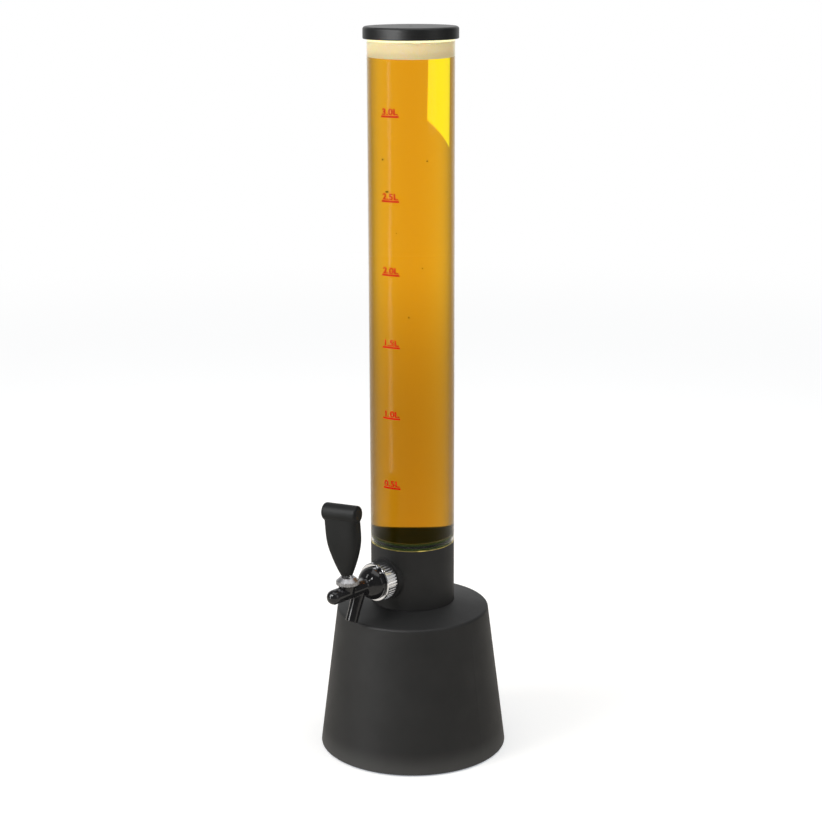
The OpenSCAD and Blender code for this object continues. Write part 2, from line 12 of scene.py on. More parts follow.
import bpy
from mathutils import Matrix, Vector
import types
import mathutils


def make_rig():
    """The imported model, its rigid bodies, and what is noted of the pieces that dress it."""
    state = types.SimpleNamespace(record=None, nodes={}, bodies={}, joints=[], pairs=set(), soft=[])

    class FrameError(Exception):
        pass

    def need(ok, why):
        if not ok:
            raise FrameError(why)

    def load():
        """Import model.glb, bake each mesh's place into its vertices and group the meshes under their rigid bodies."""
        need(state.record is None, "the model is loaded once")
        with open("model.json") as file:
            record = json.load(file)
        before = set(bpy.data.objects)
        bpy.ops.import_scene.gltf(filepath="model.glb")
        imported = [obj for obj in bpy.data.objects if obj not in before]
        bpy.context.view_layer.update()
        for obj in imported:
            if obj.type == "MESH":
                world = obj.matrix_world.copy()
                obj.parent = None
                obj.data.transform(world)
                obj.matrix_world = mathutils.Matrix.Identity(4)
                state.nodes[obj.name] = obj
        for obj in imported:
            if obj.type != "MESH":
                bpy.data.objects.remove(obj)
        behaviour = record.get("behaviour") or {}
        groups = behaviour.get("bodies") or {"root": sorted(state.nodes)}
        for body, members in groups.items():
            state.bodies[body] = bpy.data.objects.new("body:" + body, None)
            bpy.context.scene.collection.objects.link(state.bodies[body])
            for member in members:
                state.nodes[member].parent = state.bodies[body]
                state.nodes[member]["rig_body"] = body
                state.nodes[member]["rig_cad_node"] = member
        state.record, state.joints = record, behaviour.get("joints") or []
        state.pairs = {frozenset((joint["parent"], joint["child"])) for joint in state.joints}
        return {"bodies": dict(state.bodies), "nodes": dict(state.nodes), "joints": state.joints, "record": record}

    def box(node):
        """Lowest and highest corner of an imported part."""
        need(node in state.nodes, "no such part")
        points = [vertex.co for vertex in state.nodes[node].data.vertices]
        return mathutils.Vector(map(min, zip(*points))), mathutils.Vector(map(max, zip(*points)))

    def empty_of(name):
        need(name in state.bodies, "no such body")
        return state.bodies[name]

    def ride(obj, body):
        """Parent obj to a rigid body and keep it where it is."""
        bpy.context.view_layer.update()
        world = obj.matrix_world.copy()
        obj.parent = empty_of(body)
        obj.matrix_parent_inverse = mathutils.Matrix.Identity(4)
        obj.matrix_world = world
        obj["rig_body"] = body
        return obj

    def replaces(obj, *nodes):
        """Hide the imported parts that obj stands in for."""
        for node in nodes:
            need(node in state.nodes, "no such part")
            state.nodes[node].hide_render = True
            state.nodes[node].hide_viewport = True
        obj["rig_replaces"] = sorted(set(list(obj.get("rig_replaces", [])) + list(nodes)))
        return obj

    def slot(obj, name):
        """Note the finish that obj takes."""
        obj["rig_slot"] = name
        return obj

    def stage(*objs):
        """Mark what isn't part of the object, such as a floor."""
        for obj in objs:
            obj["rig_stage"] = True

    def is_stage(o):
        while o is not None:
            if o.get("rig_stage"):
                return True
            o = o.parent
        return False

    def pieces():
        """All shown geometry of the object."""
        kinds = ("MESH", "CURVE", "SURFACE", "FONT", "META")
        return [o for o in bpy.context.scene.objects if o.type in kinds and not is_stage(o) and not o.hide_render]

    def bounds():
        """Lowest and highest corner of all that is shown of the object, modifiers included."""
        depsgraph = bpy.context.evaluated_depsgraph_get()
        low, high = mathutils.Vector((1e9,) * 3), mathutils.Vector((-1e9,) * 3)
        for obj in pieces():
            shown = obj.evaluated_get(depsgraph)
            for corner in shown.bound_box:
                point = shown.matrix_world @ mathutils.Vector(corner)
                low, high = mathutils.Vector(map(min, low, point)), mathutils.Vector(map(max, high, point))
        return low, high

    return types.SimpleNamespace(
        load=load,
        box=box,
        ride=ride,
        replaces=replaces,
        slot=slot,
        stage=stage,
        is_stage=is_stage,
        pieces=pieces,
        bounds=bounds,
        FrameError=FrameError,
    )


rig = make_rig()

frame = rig.load()
cad_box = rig.bounds()
nodes = frame["nodes"]
MM = 0.001
print(len(nodes), "CAD nodes, box", cad_box)

# %% [markdown]
# The tower's main sizes are read from the CAD nodes, so that each new piece fits the solids even when a
# size in the CAD source changes. The neck's top carries the tube, and the tap's axis is the middle of
# the coupling nut.

# %% Measure the solids
def radii(node):
    return [vertex.co.xy.length for vertex in nodes[node].data.vertices]


tube_low, tube_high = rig.box("tube")
nut_low, nut_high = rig.box("coupling_nut")
NECK_TOP, TUBE_TOP = tube_low.z, tube_high.z
TUBE_R, BORE_R = max(radii("tube")), min(radii("tube"))
TAP_Z = (nut_low.z + nut_high.z) / 2
print("tube radius", TUBE_R, "bore", BORE_R, "from", NECK_TOP, "to", TUBE_TOP, "tap axis at", TAP_Z)

# %% [markdown]
# ## Camera
# The camera stands where the photographer stood: to the right of the tap, above the tower's top and
# looking down by some 14 degrees. Its turn is put together from a heading, a tilt and a very small
# roll, which is easier to read than three Euler angles.

# %% Set up the camera
CAMERA_AT = (1.34708, -1.49787, 0.9121)
HEADING, TILT, ROLL = 42, 75.63, -0.2
FOCAL_LENGTH, SENSOR = 81.02, 36
bpy.ops.object.select_all(action="DESELECT")
bpy.ops.object.camera_add()
camera = bpy.context.object
camera.data.lens = FOCAL_LENGTH
camera.data.sensor_width = SENSOR
camera.data.clip_end = 200
camera.matrix_world = (
    Matrix.Translation(CAMERA_AT)
    @ Matrix.Rotation(math.radians(HEADING), 4, "Z")
    @ Matrix.Rotation(math.radians(TILT), 4, "X")
    @ Matrix.Rotation(math.radians(ROLL), 4, "Z")
)
bpy.context.scene.camera = camera
bpy.context.scene.view_settings.view_transform = "Standard"
print("camera at", tuple(camera.location))

# %% [markdown]
# ## Building materials from nodes
# A finish is a node tree around one Principled shader. Short helpers keep the trees readable: they make
# the material, add a node, plug an output into the shader, and add a noise that is read in Object
# coordinates, so its grain has a real size in millimetres.

# %% Helpers for node trees
def finish(name, **values):
    material = bpy.data.materials.new(name)
    material.use_nodes = True
    shader = material.node_tree.nodes["Principled BSDF"]
    for socket, value in values.items():
        shader.inputs[socket.replace("_", " ")].default_value = value
    return material


def node_in(tree, kind, **settings):
    node = tree.nodes.new(kind)
    for key, value in settings.items():
        setattr(node, key, value)
    return node


def add_node(material, kind, **settings):
    return node_in(material.node_tree, kind, **settings)


def link(material, start, end):
    material.node_tree.links.new(start, end)


def shader_of(material):
    return material.node_tree.nodes["Principled BSDF"]


def feed(material, output, socket):
    """Plugs a node's output into a socket of the material's main shader."""
    link(material, output, shader_of(material).inputs[socket])


print("node trees can be built")


# %% Helpers for grain and colour
def object_place(material):
    return add_node(material, "ShaderNodeTexCoord").outputs["Object"]


def grain(material, size_mm, detail=3.0, stretch=(1, 1, 1)):
    mapping = add_node(material, "ShaderNodeMapping")
    mapping.inputs["Scale"].default_value = stretch
    noise = add_node(material, "ShaderNodeTexNoise")
    noise.inputs["Scale"].default_value = 1000 / size_mm
    noise.inputs["Detail"].default_value = detail
    link(material, object_place(material), mapping.inputs["Vector"])
    link(material, mapping.outputs["Vector"], noise.inputs["Vector"])
    return noise.outputs["Fac"]


def ramp(material, factor, *stops):
    node = add_node(material, "ShaderNodeValToRGB")
    link(material, factor, node.inputs["Fac"])
    elements = node.color_ramp.elements
    while len(elements) < len(stops):
        elements.new(0.5)
    for element, (place, colour) in zip(elements, stops):
        element.position = place
        element.color = (*colour, 1)
    return node.outputs["Color"]


print("grain and colour ready")


# %% Helpers for relief and soft changes
def bump(material, height, strength, depth_mm, normal=None):
    node = add_node(material, "ShaderNodeBump")
    node.inputs["Strength"].default_value = strength
    node.inputs["Distance"].default_value = depth_mm * MM
    link(material, height, node.inputs["Height"])
    if normal is not None:
        link(material, normal, node.inputs["Normal"])
    return node.outputs["Normal"]


def spread(material, factor, low, high):
    node = add_node(material, "ShaderNodeMapRange")
    node.inputs["To Min"].default_value = low
    node.inputs["To Max"].default_value = high
    link(material, factor, node.inputs["Value"])
    return node.outputs["Result"]


def soft_step(tree, value, start, end, low=0.0, high=1.0):
    """Goes smoothly from low, where the value is at start, to high, where it is at end."""
    node = node_in(tree, "ShaderNodeMapRange", interpolation_type="SMOOTHSTEP")
    for socket, number in zip(("From Min", "From Max", "To Min", "To Max"), (start, end, low, high)):
        node.inputs[socket].default_value = number
    tree.links.new(value, node.inputs["Value"])
    return node.outputs["Result"]


def z_of(tree, vector):
    parts = node_in(tree, "ShaderNodeSeparateXYZ")
    tree.links.new(vector, parts.inputs[0])
    return parts.outputs["Z"]


print("relief and soft changes ready")

# %% [markdown]
# ## Floor
# The floor is one large plain plane of a pale, slightly warm colour. Lit by the lamps alone it would
# look grey, so a camera ray also sees a faint glow that takes it up to white, and the soft shadow still
# shows. Further out the glow grows until the floor is as white as the sky behind it, also for rays that
# come through glass or off metal, so no horizon shows. The full column bends the rays at its edges far
# to the side, where a real room is darker than the white wall behind the tower. So for rays through
# glass, floor and sky fall off towards the sides. WALL is the direction in which that wall stands, seen
# from the camera.

# %% Helpers for light paths
def calculate(tree, operation, first, second):
    node = node_in(tree, "ShaderNodeMath", operation=operation)
    for socket, value in zip(node.inputs, (first, second)):
        if isinstance(value, (int, float)):
            socket.default_value = value
        else:
            tree.links.new(value, socket)
    return node.outputs[0]


def ray_is(tree, *kinds):
    """1 for rays of these kinds. Rays through glass are glossy too, and Mirror leaves those out."""
    path = node_in(tree, "ShaderNodeLightPath")
    total = 0
    for kind in kinds:
        one = path.outputs[f"Is {kind.replace('Mirror', 'Glossy')} Ray"]
        if kind == "Mirror":
            one = calculate(tree, "MULTIPLY", one, path.outputs["Is Reflection Ray"])
        total = calculate(tree, "MAXIMUM", total, one)
    return total


WALL = Vector((-0.669, 0.743, 0))
GLASS_EDGE, MIRROR_EDGE = (0.7, 0.97), (0.45, 1.0)
GLASS_SIDE, MIRROR_SIDE = 0.5, 0.12


def straight_behind(tree, direction, kind):
    """For rays through glass or off a mirror: 1 towards the wall behind the tower, and less aside."""
    edge, side = (MIRROR_EDGE, MIRROR_SIDE) if kind == "Mirror" else (GLASS_EDGE, GLASS_SIDE)
    unit = node_in(tree, "ShaderNodeVectorMath", operation="NORMALIZE")
    tree.links.new(direction, unit.inputs[0])
    towards = node_in(tree, "ShaderNodeVectorMath", operation="DOT_PRODUCT")
    towards.inputs[1].default_value = WALL
    tree.links.new(unit.outputs["Vector"], towards.inputs[0])
    fall = soft_step(tree, towards.outputs["Value"], *edge, side, 1.0)
    return calculate(tree, "MULTIPLY", fall, ray_is(tree, kind))


print("light path helpers ready")

# %% Lay the floor
bpy.ops.object.select_all(action="DESELECT")
bpy.ops.mesh.primitive_plane_add(size=60)
floor = bpy.context.object
floor.name = "floor"
print("floor laid,", floor.dimensions.x, "m wide")

# %% Paint the floor
NEAR, FAR = 0.9, 3.4
GLOW = (0.33, 0.36, 0.40, 1)
GLOW_GROWS = 0.7, 1.5, 1.0, 1.2
FLOOR_TONES = (0.3, (0.79, 0.75, 0.69)), (0.7, (0.81, 0.77, 0.71))
NEAR_KEPT = 0.86
floor_white = finish("floor white", Roughness=0.9, Specular_IOR_Level=0.0)
tree = floor_white.node_tree
place = object_place(floor_white)
length = node_in(tree, "ShaderNodeVectorMath", operation="LENGTH")
tree.links.new(place, length.inputs[0])
away = length.outputs["Value"]
fade = soft_step(tree, away, NEAR, FAR)
feed(floor_white, ramp(floor_white, grain(floor_white, 900), *FLOOR_TONES), "Base Color")
shader_of(floor_white).inputs["Emission Color"].default_value = GLOW
glowing = calculate(tree, "MULTIPLY", ray_is(tree, "Camera"), soft_step(tree, away, *GLOW_GROWS))
feed(floor_white, glowing, "Emission Strength")
white = node_in(tree, "ShaderNodeEmission")
through = straight_behind(tree, place, "Transmission")
mirrored = straight_behind(tree, place, "Mirror")
shown = calculate(tree, "MAXIMUM", through, mirrored)
shown = calculate(tree, "MAXIMUM", ray_is(tree, "Camera"), shown)
tree.links.new(shown, white.inputs["Strength"])
kept = calculate(tree, "MULTIPLY", through, NEAR_KEPT)
dimmed = calculate(tree, "SUBTRACT", ray_is(tree, "Transmission"), kept)
near = node_in(tree, "ShaderNodeMixShader")
tree.links.new(dimmed, near.inputs["Fac"])
tree.links.new(shader_of(floor_white).outputs["BSDF"], near.inputs[1])
blend = node_in(tree, "ShaderNodeMixShader")
tree.links.new(fade, blend.inputs["Fac"])
tree.links.new(near.outputs[0], blend.inputs[1])
tree.links.new(white.outputs[0], blend.inputs[2])
tree.links.new(blend.outputs[0], tree.nodes["Material Output"].inputs["Surface"])
floor.data.materials.append(floor_white)
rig.stage(floor)
print("floor painted")

# %% [markdown]
# ## Light
# The photograph has soft room light. Its studio has a white wall behind the tower and a dim room behind
# the camera, which keeps the reflections on the column and on the black plastic low and the colours
# deep. So the sky is white for camera rays and for rays through glass, even and moderate for diffuse
# light, and for reflections it goes from white behind the tower to dim in front.

# %% Studio sky
world = bpy.data.worlds.new("studio")
bpy.context.scene.world = world
world.use_nodes = True
sky = world.node_tree
AMBIENT = 0.42
around = node_in(sky, "ShaderNodeTexCoord").outputs["Generated"]
mirrored = straight_behind(sky, around, "Mirror")
through = calculate(sky, "MAXIMUM", straight_behind(sky, around, "Transmission"), ray_is(sky, "Camera"))
seen = calculate(sky, "MAXIMUM", mirrored, through)
spread_out = calculate(sky, "MULTIPLY", ray_is(sky, "Diffuse"), AMBIENT)
strength = calculate(sky, "MAXIMUM", seen, spread_out)
sky.links.new(strength, sky.nodes["Background"].inputs["Strength"])
sky.nodes["Background"].inputs["Color"].default_value = (1, 1, 1, 1)
print("sky ready")

# %% [markdown]
# A large key stands to the left of the camera like a window, with a broad lamp above and a weak one on
# the right. The others do not light anything. One hangs behind on the left and only shows through the
# beer, where it makes the bright yellow patch. The rest are only mirrored: a pale band in the column, a
# sheen on the lid's rim, a warm and a white glint on the nut's ribs and a bright spot on the tap. Light
# linking keeps the two glints to the nut. A lamp is aimed by a track quaternion.

# %% Helper for lamps
def soft_lamp(name, place, size, power, aim=(0, 0, 0.4), only=None, turn=0, colour=(1, 1, 1),
              receivers=()):
    bpy.ops.object.select_all(action="DESELECT")
    bpy.ops.object.light_add(type="AREA", location=place)
    lamp = bpy.context.object
    lamp.name = name
    lamp.data.shape = "RECTANGLE"
    lamp.data.size, lamp.data.size_y = size
    lamp.data.energy = power
    lamp.data.color = colour
    aimed = (Vector(aim) - Vector(place)).to_track_quat("-Z", "Y").to_matrix().to_4x4()
    lamp.rotation_euler = (aimed @ Matrix.Rotation(math.radians(turn), 4, "Z")).to_euler()
    lamp.visible_camera = False
    if only:
        lamp.visible_diffuse = lamp.visible_volume_scatter = False
        lamp.visible_glossy = only == "glossy"
        lamp.visible_transmission = only == "transmission"
    if receivers:
        group = bpy.data.collections.new(name + " receivers")
        for receiver in receivers:
            group.objects.link(nodes[receiver])
        lamp.light_linking.receiver_collection = group


def around_tower(azimuth, distance, height):
    angle = math.radians(azimuth)
    return (distance * math.cos(angle), distance * math.sin(angle), height)


print("lamps can be hung")

# %% Hang the lamps
CAMERA_AZIMUTH = -48
NUT_AT, TAP_AT, LID_AT = (0, -0.06, 0.21), (0, -0.1, 0.2), (0, 0, 0.81)
PATCH_HEIGHT, PATCH_COLOUR = 0.975, (0.48, 1, 0.1)
soft_lamp("key_window", (-0.9, -2.2, 1.7), (1.4, 1.8), power=40)
soft_lamp("top_soft", (0.3, 0.1, 2.6), (2.4, 2.4), power=34)
soft_lamp("right_fill", (2.4, 0.4, 1.2), (1.2, 1.6), power=8)
soft_lamp("left_band", around_tower(CAMERA_AZIMUTH - 58, 1.05, 0.5), (0.22, 1.0), power=4,
          aim=(0, 0, 0.5), only="glossy")
soft_lamp("back_patch", around_tower(CAMERA_AZIMUTH + 180 + 25, 0.75, PATCH_HEIGHT), (0.34, 0.7),
          power=0.92, aim=(0, 0, PATCH_HEIGHT), only="transmission", turn=-7, colour=PATCH_COLOUR)
soft_lamp("lid_band", around_tower(CAMERA_AZIMUTH - 36, 0.9, 0.92), (0.35, 0.28), power=6,
          aim=LID_AT, only="glossy")
soft_lamp("rib_glint", (0.1, 0.8, 0.98), (1.2, 0.9), power=3,
          aim=NUT_AT, only="glossy", colour=(1, 0.86, 0.55), receivers=["coupling_nut"])
soft_lamp("rib_sheen", (0.68, 0.66, 0.33), (0.7, 0.8), power=0.9,
          aim=NUT_AT, only="glossy", receivers=["coupling_nut"])
soft_lamp("ceiling_lamp", (-0.2, -2.4, 2.2), (0.3, 0.3), power=7,
          aim=TAP_AT, only="glossy")
print("lamps set")

# %% [markdown]
# ## Edges of moulded and turned parts
# The CAD meshes are loose triangles with hard edges, and real parts have edges broken by a few tenths
# of a millimetre, which is where they catch the light. Bevelling every CAD mesh would mean rebuilding
# it. The Bevel shader node bends the normals near an edge instead, at no cost in mesh.

# %% Helpers for soft edges and for dressing
def soft_edges(material, radius_mm):
    node = add_node(material, "ShaderNodeBevel", samples=6)
    node.inputs["Radius"].default_value = radius_mm * MM
    return node.outputs["Normal"]


def dress(material, *names):
    for name in names:
        nodes[name].data.materials.clear()
        nodes[name].data.materials.append(material)


print("soft edges and dressing ready")

# %% [markdown]
# ## Moulded black plastic
# Base, neck and lid are injection-moulded in black. The base and the neck have a fine spark-eroded
# grain that scatters light, so they look charcoal in the window light, and the lid is smoother. Two
# noises make that: a fine one bumps the surface, and a broad one varies colour and roughness a little,
# as handling does. The base's foot is painted paler up to a height of 28 mm, a painted glow that stands
# in for the light bounced up from the floor. The well is olive and has a painted olive glow, an emission
# that stands in for the light that runs down in the tube's wall and through the film of beer.

# %% Helper for moulded plastic
def moulded(name, dark, light, roughness, grain_mm, grain_deep, edge_mm, painted_bounce=None):
    material = finish(name, Specular_IOR_Level=0.3)
    broad = grain(material, 38, 4)
    colour = ramp(material, broad, (0.3, dark), (0.72, light))
    # The paler foot is painted light: a glow of light bounced up from the floor, painted into the colour.
    if painted_bounce:
        height_mm, bounce_colour = painted_bounce
        height = z_of(material.node_tree, object_place(material))
        mix = add_node(material, "ShaderNodeMix", data_type="RGBA")
        link(material, soft_step(material.node_tree, height, height_mm * MM, 0), mix.inputs[0])
        link(material, colour, mix.inputs[6])
        mix.inputs[7].default_value = (*bounce_colour, 1)
        colour = mix.outputs[2]
    feed(material, colour, "Base Color")
    feed(material, spread(material, broad, roughness[1], roughness[0]), "Roughness")
    fine = grain(material, grain_mm, 2)
    feed(material, bump(material, fine, 0.55, grain_deep, soft_edges(material, edge_mm)), "Normal")
    return material


print("plastic can be moulded")

# %% Matte, satin and stained black plastic
CHARCOAL = (0.0125, 0.0127, 0.0128), (0.0165, 0.0168, 0.017)
SPARKED = {"roughness": (0.5, 0.6), "grain_mm": 0.45, "grain_deep": 0.05, "edge_mm": 0.6}
SMOOTHER = {"grain_mm": 0.3, "grain_deep": 0.02, "edge_mm": 0.5}
# Painted floor bounce: the paler colour of the base's foot, and the height in millimetres it reaches.
PAINTED_FLOOR_BOUNCE = (28, (0.055, 0.055, 0.054))
# Painted glow of the well: an emission that stands in for the light running down the tube's wall and through the beer.
PAINTED_WELL_GLOW = (0.009, 0.017, 0.002, 1)
matte_black = moulded("matte black plastic", *CHARCOAL, **SPARKED)
floor_lit_black = moulded("black plastic with painted floor bounce", *CHARCOAL, **SPARKED, painted_bounce=PAINTED_FLOOR_BOUNCE)
satin_black = moulded("satin black plastic", (0.010, 0.0108, 0.011), (0.014, 0.0148, 0.015),
                      roughness=(0.36, 0.44), **SMOOTHER)
soft_black = moulded("soft-touch black plastic", (0.006, 0.0068, 0.0068), (0.009, 0.0098, 0.0098),
                     roughness=(0.46, 0.56), **SMOOTHER)
shader_of(soft_black).inputs["Specular IOR Level"].default_value = 0.2
painted_glow_olive_black = moulded("olive black plastic with painted glow", (0.02, 0.03, 0.006), (0.034, 0.045, 0.01),
                        roughness=(0.4, 0.5), grain_mm=0.45, grain_deep=0.04, edge_mm=0.4)
# The well's olive emission is a painted glow; the well is no lamp.
shader_of(painted_glow_olive_black).inputs["Emission Color"].default_value = PAINTED_WELL_GLOW
shader_of(painted_glow_olive_black).inputs["Emission Strength"].default_value = 1
dress(matte_black, "base_plate", "neck_housing")
dress(floor_lit_black, "base_shell")
dress(satin_black, "lid")
dress(soft_black, "handle")
dress(painted_glow_olive_black, "well_cup")
print("black plastic is on")

# %% [markdown]
# ## Polished black, chrome and bare metal
# The faucet's body is moulded in polished black. Its large ring is chrome plated and the small one under
# the lever has a duller plating. Both show faint handling marks: thin streaks in the roughness, hardly
# any in the colour. Steel parts are turned, so their streaks run round the axis of the tap or stand
# along the lever, and the brass insert is the same in another colour.

# %% Polished black
gloss_black = finish("polished black plastic", Specular_IOR_Level=0.3, Coat_Weight=0.2,
                     Coat_Roughness=0.04)
smudge = grain(gloss_black, 14, 5)
smudged = ramp(gloss_black, smudge, (0.3, (0.010, 0.010, 0.011)), (0.75, (0.016, 0.016, 0.017)))
feed(gloss_black, smudged, "Base Color")
feed(gloss_black, spread(gloss_black, smudge, 0.07, 0.15), "Roughness")
peel = bump(gloss_black, grain(gloss_black, 2.6, 1), 0.25, 0.03, soft_edges(gloss_black, 0.4))
feed(gloss_black, peel, "Normal")
dress(gloss_black, "faucet_body")
print("polished black is on")


# %% Chrome, steel and brass
def metal(name, dark, light, roughness, streak_mm, stretch, edge_mm=0.15, deep=0.01):
    material = finish(name, Metallic=1.0)
    streaks = grain(material, streak_mm, 3, stretch)
    feed(material, ramp(material, streaks, (0.25, dark), (0.75, light)), "Base Color")
    feed(material, spread(material, streaks, *roughness), "Roughness")
    feed(material, bump(material, streaks, 0.3, deep, soft_edges(material, edge_mm)), "Normal")
    return material


EVEN, ALONG_Y, ALONG_Z = (1, 1, 1), (0.3, 6, 0.3), (0.3, 0.3, 6)
chrome = metal("chrome plating", (0.74, 0.75, 0.77), (0.84, 0.84, 0.85), (0.06, 0.16), 9, EVEN,
               edge_mm=0.25, deep=0.02)
steel = metal("turned steel", (0.42, 0.42, 0.43), (0.58, 0.58, 0.59), (0.22, 0.4), 1.2, ALONG_Y)
brass = metal("turned brass", (0.52, 0.36, 0.13), (0.66, 0.48, 0.2), (0.25, 0.4), 1.2, ALONG_Z)
plating = metal("dull plating", (0.3, 0.3, 0.31), (0.42, 0.42, 0.43), (0.3, 0.42), 4, EVEN,
                edge_mm=0.25, deep=0.02)
dress(chrome, "coupling_nut", "shank_collar")
dress(plating, "bonnet")
dress(steel, "shank", "shank_locknut", "plunger", "lever")
dress(steel, "base_screws", "ballast_screws", "neck_screws")
dress(brass, "handle_insert")
print("metal is on")

# %% [markdown]
# ## Rubber, seals, nylon and cast iron
# These parts hide inside, but show when the lid is off or the tower lies on its side. Rubber is dull
# with a powdery bloom, nylon is milky and lets a little light in, and the iron ballast has the coarse
# skin of sand casting under black paint.

# %% Hidden finishes
def dull(name, dark, light, roughness, grain_mm, grain_deep, **values):
    material = finish(name, **values)
    bloom = grain(material, grain_mm * 12, 4)
    feed(material, ramp(material, bloom, (0.3, dark), (0.7, light)), "Base Color")
    feed(material, spread(material, bloom, *roughness), "Roughness")
    fine = grain(material, grain_mm, 2)
    feed(material, bump(material, fine, 0.5, grain_deep, soft_edges(material, 0.3)), "Normal")
    return material


rubber = dull("black rubber", (0.012, 0.012, 0.012), (0.024, 0.024, 0.024), (0.6, 0.8), 0.5, 0.04)
seal_grey = dull("grey silicone", (0.15, 0.15, 0.155), (0.2, 0.2, 0.205), (0.45, 0.6), 0.8, 0.02)
nylon = dull("natural nylon", (0.62, 0.61, 0.57), (0.72, 0.7, 0.66), (0.35, 0.5), 0.8, 0.02,
             Subsurface_Weight=0.2, Subsurface_Scale=0.001)
iron = dull("painted cast iron", (0.02, 0.02, 0.021), (0.05, 0.05, 0.05), (0.5, 0.75), 1.6, 0.25)
dress(rubber, "grip_ring", "shank_gasket", "inner_washer", "coupling_washer", "seat_washer")
dress(rubber, "plunger_seal", "tube_seal")
dress(seal_grey, "lid_seal")
dress(nylon, "ball_seat", "ball_bushing")
dress(iron, "ballast_weight")
print("all finishes are on, but for the tube, which gets a new mesh below")

# %% [markdown]
# ## Turning round parts
# Tube, drink and foam are bodies of revolution. The outline is drawn as a chain of edges, one
# extrusion per point, as one would draw it in the front view, and is then spun once round the axis. A
# closed outline gives a hollow body such as the tube, and an open one that starts and ends on the axis
# gives a full one.

# %% Helper that draws an outline
def edge_chain(name, points, closed):
    bpy.ops.object.select_all(action="DESELECT")
    first = points[0]
    bpy.ops.mesh.primitive_plane_add(size=1 * MM, location=(first[0], 0, first[1]))
    piece = bpy.context.object
    piece.name = piece.data.name = name
    bpy.ops.object.transform_apply(location=True, rotation=False, scale=False)
    bpy.ops.object.mode_set(mode="EDIT")
    bpy.ops.mesh.select_all(action="SELECT")
    bpy.ops.mesh.merge(type="CENTER")
    for start, end in zip(points, points[1:]):
        step = (end[0] - start[0], 0, end[1] - start[1])
        bpy.ops.mesh.extrude_region_move(TRANSFORM_OT_translate={"value": step})
    if closed:
        bpy.ops.object.mode_set(mode="OBJECT")
        edges = piece.data.edges
        for vertex in piece.data.vertices:
            vertex.select = sum(vertex.index in edge.vertices for edge in edges) == 1
        bpy.ops.object.mode_set(mode="EDIT")
        bpy.ops.mesh.edge_face_add()
    return piece


print("outlines can be drawn")


# %% Helpers that measure and spin
def rounded(values_in_metres):
    return tuple(round(value / MM, 1) for value in values_in_metres)


def spin_round(piece, steps):
    bpy.ops.mesh.select_all(action="SELECT")
    bpy.ops.mesh.spin(steps=steps, angle=2 * math.pi, center=(0, 0, 0), axis=(0, 0, 1))
    bpy.ops.mesh.select_all(action="SELECT")
    bpy.ops.mesh.remove_doubles(threshold=1e-6)
    bpy.ops.mesh.normals_make_consistent(inside=False)
    bpy.ops.object.mode_set(mode="OBJECT")
    bpy.ops.object.shade_smooth_by_angle(angle=math.radians(30))
    print(piece.name, len(piece.data.polygons), "faces,", rounded(piece.dimensions), "mm")
    return piece


def turned(name, points, steps, closed=False):
    return spin_round(edge_chain(name, points, closed), steps)


print("outlines can be spun")

# %% [markdown]
# ## Clear tube
# The real column is an extruded acrylic tube with polished ends. Light runs along the wall and comes
# out at the ends, which is why the lower end shows as a bright ring on the neck; here that ring is a
# painted glow on the beer in the joint, below. The CAD tube has facets that would show in its
# refraction, so a turned tube of twice the resolution replaces it, with its four edges broken by 0.4 mm.

# %% Turn the tube
BREAK = 0.4 * MM
COLUMN_STEPS = 256
tube = turned("tube_clear", [
    (TUBE_R - BREAK, NECK_TOP), (TUBE_R, NECK_TOP + BREAK),
    (TUBE_R, TUBE_TOP - BREAK), (TUBE_R - BREAK, TUBE_TOP),
    (BORE_R + BREAK, TUBE_TOP), (BORE_R, TUBE_TOP - BREAK),
    (BORE_R, NECK_TOP + BREAK), (BORE_R + BREAK, NECK_TOP),
], COLUMN_STEPS, closed=True)
acrylic = finish("clear acrylic", Base_Color=(0.97, 0.985, 0.98, 1), Transmission_Weight=1.0,
                 IOR=1.49, Specular_Tint=(0.08, 0.08, 0.08, 1))
feed(acrylic, spread(acrylic, grain(acrylic, 30, 6), 0.0, 0.035), "Roughness")
tube.data.materials.append(acrylic)
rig.ride(tube, "tower")
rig.replaces(tube, "tube")
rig.slot(tube, "clear_tube")

# %% [markdown]
# ## Beer
# Beer is a clear liquid that eats blue light quickly and green light slowly, so its colour comes from
# its thickness and not from its surface. A Volume Absorption node does exactly that. Where the drink
# touches the wall there is no air, so its outline is drawn a tenth of a millimetre into the acrylic, and
# the light then meets the right change of index. It goes down into the black well in the neck, which is
# why the column ends in a dark band. A thin ring of beer caught in the joint under the tube has painted
# golden glints in places: an emission that glows in patches.

# %% Pour the beer
OVERLAP = 0.1 * MM
WELL_R, IN_WALL = 40 * MM + OVERLAP, BORE_R + OVERLAP
BEER_TOP, BEER_FOOT = TUBE_TOP - 23.5 * MM, NECK_TOP - 30 * MM
BEER_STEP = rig.box("well_cup")[1].z - 2 * MM
PALE_GOLD, COLOUR_DENSITY = (0.955, 0.775, 0.005, 1), 55
beer = turned("beer_fill", [
    (0, BEER_FOOT), (WELL_R, BEER_FOOT), (WELL_R, BEER_STEP),
    (IN_WALL, BEER_STEP), (IN_WALL, BEER_TOP), (0, BEER_TOP),
], COLUMN_STEPS)
lager = finish("lager", Base_Color=(1, 1, 1, 1), Transmission_Weight=1.0, IOR=1.34, Roughness=0.0,
               Specular_Tint=(0.1, 0.1, 0.1, 1))
depth = add_node(lager, "ShaderNodeVolumeAbsorption")
depth.inputs["Color"].default_value = PALE_GOLD
depth.inputs["Density"].default_value = COLOUR_DENSITY
link(lager, depth.outputs[0], lager.node_tree.nodes["Material Output"].inputs["Volume"])
beer.data.materials.append(lager)
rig.ride(beer, "tower")
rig.slot(beer, "clear_tube")

